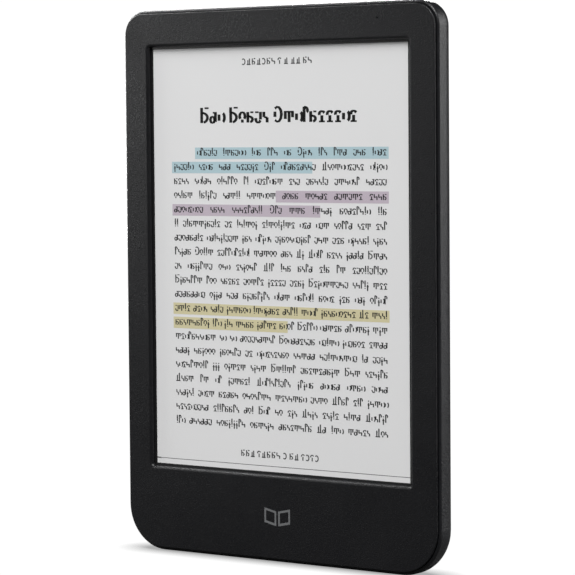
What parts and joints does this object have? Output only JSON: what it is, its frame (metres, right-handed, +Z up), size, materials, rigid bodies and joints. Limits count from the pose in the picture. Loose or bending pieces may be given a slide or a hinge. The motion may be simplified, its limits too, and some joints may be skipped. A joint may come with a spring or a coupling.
{
  "type": "e-reader",
  "caption": "Slim e-reader: matt black bezel round a recessed display with a mock page, curved rear cover, rear power button, charging port and full internals.",
  "frame": {"origin": "middle of the box's underside, with the reader standing on its bottom edge", "axes": "+Z up along the long side, +X to the right of someone reading, +Y from the display to the back"},
  "size_m": [0.112, 0.0092, 0.16],
  "materials": {
    "bezel_plastic": "fine spark-eroded grain, satin black",
    "cover_plastic": "fine grain, satin black, softly worn at the edges",
    "button_plastic": "satin black, dished",
    "printed_mark": "grey pad print",
    "light_pipe": "clear moulded pin, smoked by the dark case",
    "gasket_foam": "closed-cell foam",
    "black_print": "screen print",
    "display_film": "matt anti-glare film over the printed-looking page",
    "light_guide": "clear moulded sheet",
    "lamp_strip": "polyimide strip with lamps",
    "paper_laminate": "pale laminate",
    "backplane_glass": "thin glass with metal lines",
    "midframe_alloy": "die-cast, bead blasted",
    "flat_cable": "polyimide film with copper",
    "socket_plastic": "ivory moulding",
    "latch_plastic": "dark moulding",
    "board_laminate": "green solder mask",
    "plated_steel": "tin plate",
    "chip_resin": "moulded resin",
    "coil_ferrite": "ferrite",
    "capacitor_ceramic": "fired ceramic with tinned ends",
    "antenna_film": "copper on film",
    "cable_jacket": "extruded jacket",
    "led_lens": "cast lens",
    "tongue_plastic": "glass-filled moulding",
    "seal_rubber": "silicone",
    "cell_foil": "laminated pouch foil",
    "mounting_tape": "stretch-release tape",
    "lead_jacket": "extruded jacket",
    "screw_steel": "zinc plated"
  },
  "bodies": {
    "reader": {"front_bezel": "bezel_plastic", "rear_cover": "cover_plastic", "emblem": "printed_mark", "light_pipe": "light_pipe", "window_gasket": "gasket_foam", "border_mask": "black_print", "cover_film": "display_film", "light_guide": "light_guide", "light_bar": "lamp_strip", "epaper_film": "paper_laminate", "display_backplane": "backplane_glass", "backplane_foam": "gasket_foam", "midframe": "midframe_alloy", "display_flex": "flat_cable", "touch_flex": "flat_cable", "light_flex": "flat_cable", "display_socket": "socket_plastic", "touch_socket": "socket_plastic", "light_socket": "socket_plastic", "main_board": "board_laminate", "shield_can": "plated_steel", "processor": "chip_resin", "memory_chip": "chip_resin", "power_chip": "chip_resin", "panel_chip": "chip_resin", "coils": "coil_ferrite", "capacitors": "capacitor_ceramic", "wireless_module": "plated_steel", "antenna": "antenna_film", "antenna_cable": "cable_jacket", "hall_sensor": "chip_resin", "status_board": "board_laminate", "status_led": "led_lens", "status_flex": "flat_cable", "status_socket": "socket_plastic", "port_shell": "plated_steel", "port_tongue": "tongue_plastic", "port_seal": "seal_rubber", "switch_body": "plated_steel", "button_seal": "gasket_foam", "battery_cell": "cell_foil", "battery_tape": "mounting_tape", "battery_board": "board_laminate", "battery_leads": "lead_jacket", "battery_plug": "socket_plastic", "battery_socket": "socket_plastic", "case_screws": "screw_steel", "board_screws": "screw_steel"},
    "button": {"power_button": "button_plastic"},
    "plunger": {"switch_plunger": "latch_plastic"},
    "display_flip": {"display_latch": "latch_plastic"},
    "touch_flip": {"touch_latch": "latch_plastic"},
    "light_flip": {"light_latch": "latch_plastic"}
  },
  "joints": [
    {"name": "button_press", "type": "slide", "parent": "reader", "child": "button", "axis": [0, -1, 0], "range_m": [0, 0.0003], "stiffness_N_per_m": 4000, "springref_m": -0.0003},
    {"name": "plunger_press", "type": "slide", "parent": "reader", "child": "plunger", "axis": [0, -1, 0], "range_m": [0, 0.0003]},
    {"name": "display_latch_flip", "type": "hinge", "parent": "reader", "child": "display_flip", "pos_m": [-0.028, 0.00185, 0.01955], "axis": [1, 0, 0], "range_deg": [0, 90]},
    {"name": "touch_latch_flip", "type": "hinge", "parent": "reader", "child": "touch_flip", "pos_m": [0.017, 0.00185, 0.01955], "axis": [1, 0, 0], "range_deg": [0, 90]},
    {"name": "light_latch_flip", "type": "hinge", "parent": "reader", "child": "light_flip", "pos_m": [0.0285, 0.00185, 0.01955], "axis": [1, 0, 0], "range_deg": [0, 90]}
  ],
  "couplings": [
    {"joint": "plunger_press", "follows": "button_press", "ratio": 1}
  ]
}
